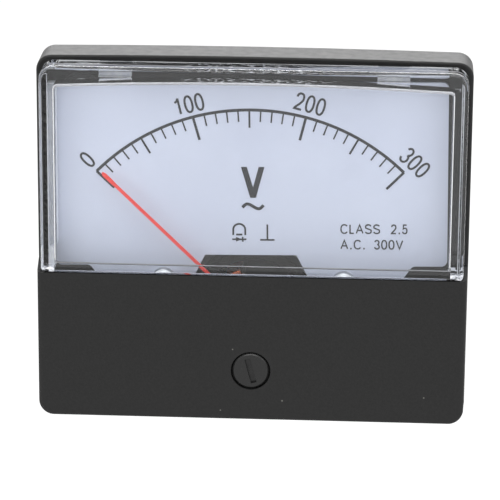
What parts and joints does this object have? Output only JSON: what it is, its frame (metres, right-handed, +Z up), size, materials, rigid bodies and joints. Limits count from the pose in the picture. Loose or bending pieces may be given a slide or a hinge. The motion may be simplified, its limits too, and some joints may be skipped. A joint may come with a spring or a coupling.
{
  "type": "analog panel meter",
  "caption": "Rectangular moving-coil panel voltmeter with a clear window over its upper half, low pivot, red pointer, zero-adjust screw, round rear barrel, fixing studs and terminals.",
  "frame": {"origin": "centre of the four fixing studs in the plane of the panel's front surface, which the flange's rear face sits on", "axes": "+X to the reader's right, +Z up, +Y from the reader into the panel, along the studs and the barrel"},
  "size_m": [0.07, 0.0533, 0.0603],
  "materials": {
    "case_plastic": "moulded, satin",
    "cover_plastic": "fine matt grain",
    "screw_plastic": "moulded, smooth",
    "clear_window": "clear polished moulding",
    "dial_white": "matt enamel on sheet aluminium",
    "dial_ink": "printed ink",
    "pointer_red": "painted red",
    "plated_steel": "zinc or nickel plated",
    "blackened_iron": "blackened soft iron",
    "magnet": "ground",
    "die_cast": "die cast",
    "aluminium": "sheet",
    "copper_wire": "enamelled winding",
    "spring_bronze": "bright strip",
    "brass": "turned or stamped",
    "tinned_brass": "tinned",
    "board": "phenolic laminate",
    "component_black": "moulded",
    "resistor_body": "lacquered",
    "lead_sleeve": "soft sleeve"
  },
  "bodies": {
    "root": {"rear_case": "case_plastic", "mounting_studs": "plated_steel", "window": "clear_window", "lower_cover": "cover_plastic", "dial_plate": "dial_white", "scale_marks": "dial_ink", "dial_screws": "plated_steel", "movement_frame": "die_cast", "movement_screws": "plated_steel", "pole_ring": "blackened_iron", "core_magnet": "magnet", "core_spacers": "die_cast", "front_pillars": "brass", "rear_pillars": "brass", "front_bridge": "brass", "rear_bridge": "brass", "front_bridge_screws": "plated_steel", "rear_bridge_screws": "plated_steel", "pointer_stops": "brass", "front_jewel_screw": "brass", "rear_jewel_screw": "brass", "front_locknut": "brass", "rear_locknut": "brass", "rear_hairspring": "spring_bronze", "rear_spring_anchor": "brass", "circuit_board": "board", "rectifier_diodes": "component_black", "series_resistor": "resistor_body", "movement_leads": "lead_sleeve", "terminal_studs": "brass", "terminal_washers": "plated_steel", "solder_tags": "tinned_brass", "lock_washers": "plated_steel", "terminal_nuts": "plated_steel"},
    "zero_adjuster": {"zero_screw": "screw_plastic"},
    "zero_arm": {"zero_lever": "brass", "front_hairspring": "spring_bronze"},
    "moving_element": {"pointer": "pointer_red", "pointer_hub": "aluminium", "balance_weights": "brass", "front_pivot": "plated_steel", "rear_pivot": "plated_steel", "coil_former": "aluminium", "coil_winding": "copper_wire"}
  },
  "joints": [
    {"name": "zero_screw_turn", "type": "hinge", "parent": "root", "child": "zero_adjuster", "pos_m": [0, -0.0105, -0.02125], "axis": [0, 1, 0], "range_deg": [-45, 45]},
    {"name": "zero_arm_turn", "type": "hinge", "parent": "root", "child": "zero_arm", "pos_m": [0, -0.0073, -0.015], "axis": [0, 1, 0], "range_deg": [-4, 4]},
    {"name": "pointer_swing", "type": "hinge", "parent": "zero_arm", "child": "moving_element", "pos_m": [0, -0.0046, -0.015], "axis": [0, 1, 0], "range_deg": [-2, 92], "stiffness_Nm_per_rad": 0.00002}
  ],
  "couplings": [
    {"joint": "zero_arm_turn", "follows": "zero_screw_turn", "ratio": 0.0876}
  ]
}
